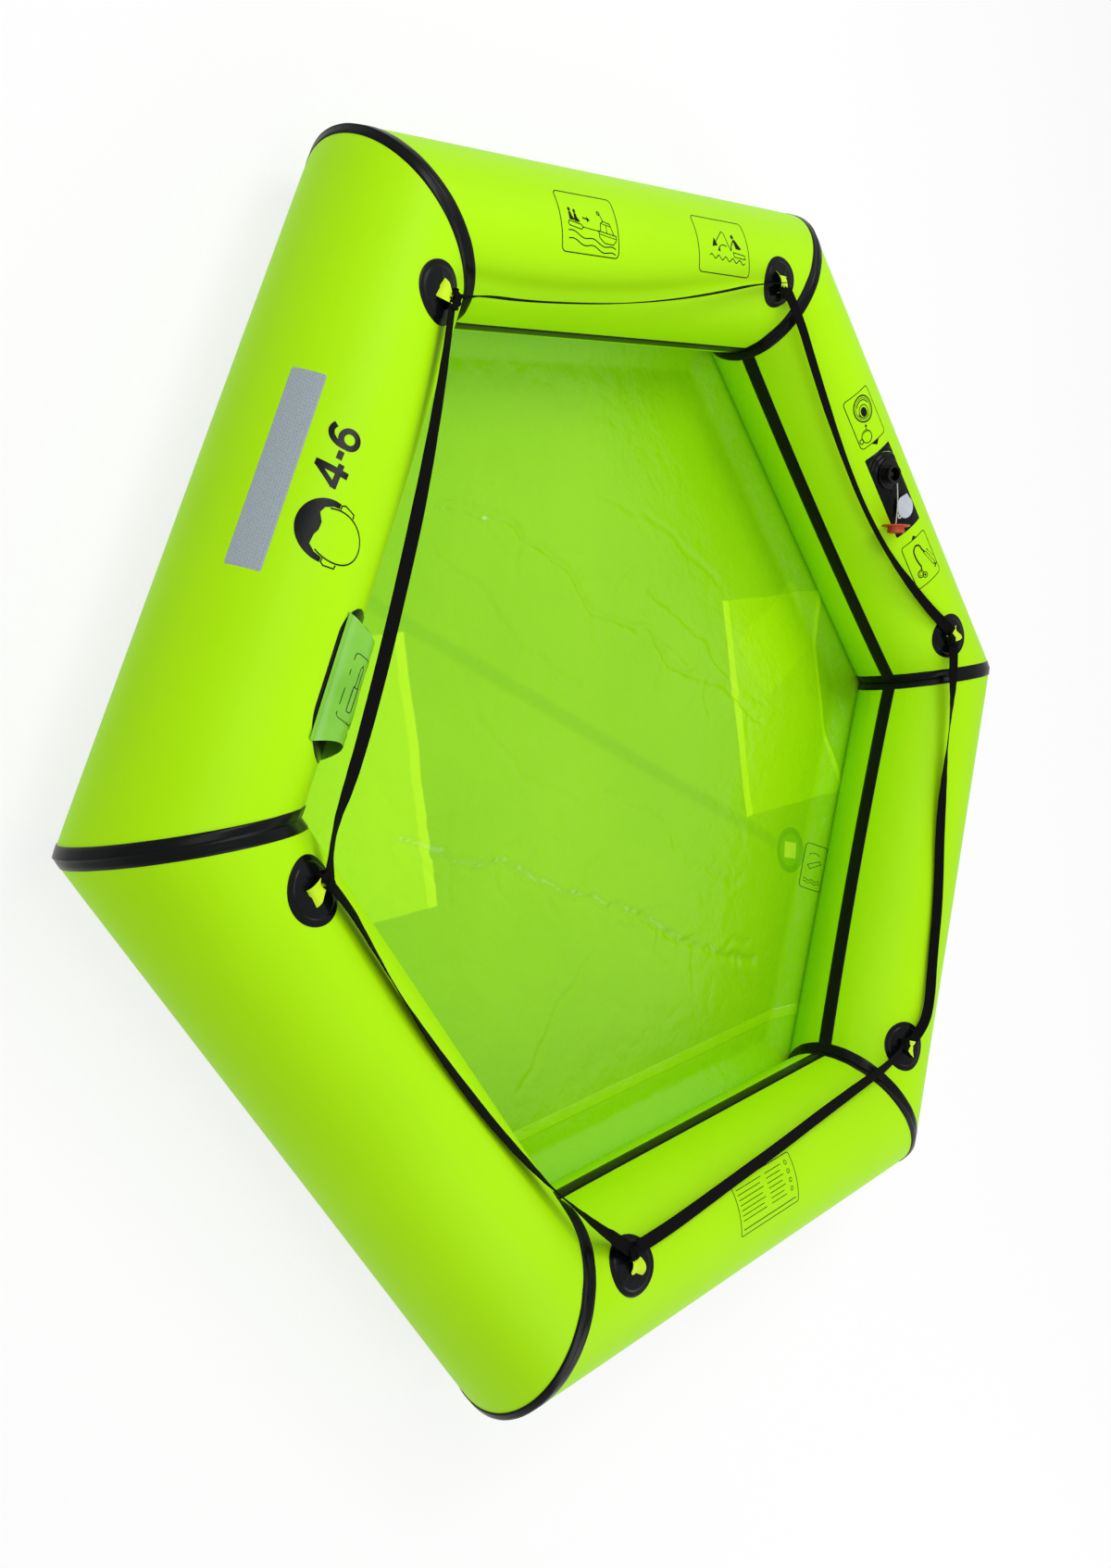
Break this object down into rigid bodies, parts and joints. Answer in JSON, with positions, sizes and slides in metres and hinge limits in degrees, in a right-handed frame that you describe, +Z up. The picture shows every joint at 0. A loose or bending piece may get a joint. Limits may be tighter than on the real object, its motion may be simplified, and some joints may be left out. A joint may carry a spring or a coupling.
{
  "type": "inflatable hexagonal liferaft",
  "caption": "Open hexagonal inflatable liferaft of one air tube with a film floor, an inside lifeline, an inflation valve, a knife sleeve, ballast pockets and a gas bottle.",
  "frame": {"origin": "on the ground under the middle of the ring of tubes", "axes": "+X towards corner 4 of the hexagon, its longest extent; +Z up; the side with the inflation valve is at +Y"},
  "size_m": [2.3162, 2.006, 0.3217],
  "materials": {
    "tube_fabric": "coated satin",
    "seam_tape": "satin",
    "floor_film": "coated gloss",
    "pocket_fabric": "coated satin",
    "black_patch": "satin",
    "bright_loop": "woven",
    "black_webbing": "woven",
    "righting_fabric": "coated satin",
    "valve_plastic": "moulded",
    "spring_steel": "drawn wire",
    "cap_plastic": "translucent",
    "plug_plastic": "moulded",
    "tether_plastic": "soft",
    "sleeve_fabric": "coated gloss",
    "reflective_film": "retroreflective",
    "bottle_shell": "satin",
    "brass_head": "machined",
    "inlet_metal": "machined"
  },
  "bodies": {
    "raft": {"ballast_pocket_a": "pocket_fabric", "ballast_pocket_b": "pocket_fabric", "bottle_cradle": "black_webbing", "bottle_slings": "black_webbing", "floor_end_panel": "floor_film", "floor_sheet": "floor_film", "gas_bottle": "bottle_shell", "inlet_fitting": "inlet_metal", "inlet_patch": "black_webbing", "knife_sleeve": "sleeve_fabric", "knife_sleeve_patch": "black_patch", "lifeline_knots": "black_webbing", "lifeline_loop_1": "bright_loop", "lifeline_loop_2": "bright_loop", "lifeline_loop_3": "bright_loop", "lifeline_loop_4": "bright_loop", "lifeline_loop_5": "bright_loop", "lifeline_loop_6": "bright_loop", "lifeline_patch_1": "black_patch", "lifeline_patch_2": "black_patch", "lifeline_patch_3": "black_patch", "lifeline_patch_4": "black_patch", "lifeline_patch_5": "black_patch", "lifeline_patch_6": "black_patch", "lifeline_webbing_1": "black_webbing", "lifeline_webbing_2": "black_webbing", "lifeline_webbing_3": "black_webbing", "lifeline_webbing_4": "black_webbing", "lifeline_webbing_5": "black_webbing", "lifeline_webbing_6": "black_webbing", "mitre_tape_1": "seam_tape", "mitre_tape_2": "seam_tape", "mitre_tape_3": "seam_tape", "mitre_tape_4": "seam_tape", "mitre_tape_5": "seam_tape", "mitre_tape_6": "seam_tape", "operating_head": "brass_head", "reflective_tape": "reflective_film", "righting_loops": "bright_loop", "righting_patches": "righting_fabric", "righting_strap": "righting_fabric", "seam_tape_1": "seam_tape", "seam_tape_2": "seam_tape", "seam_tape_3": "seam_tape", "seam_tape_4": "seam_tape", "seam_tape_5": "seam_tape", "seam_tape_6": "seam_tape", "tube_panel_1": "tube_fabric", "tube_panel_2": "tube_fabric", "tube_panel_3": "tube_fabric", "tube_panel_4": "tube_fabric", "tube_panel_5": "tube_fabric", "tube_panel_6": "tube_fabric", "valve_base_patch": "black_patch", "valve_body": "valve_plastic", "valve_cap": "cap_plastic", "valve_plug": "plug_plastic", "valve_spring": "spring_steel", "valve_tether": "tether_plastic"},
    "poppet": {"valve_poppet": "valve_plastic"}
  },
  "joints": [
    {"name": "poppet_slide", "type": "slide", "parent": "raft", "child": "poppet", "axis": [0, 0.2504, -0.9681], "range_m": [0, 0.005], "stiffness_N_per_m": 300, "springref_m": -0.004, "deforming": ["valve_spring"]}
  ]
}
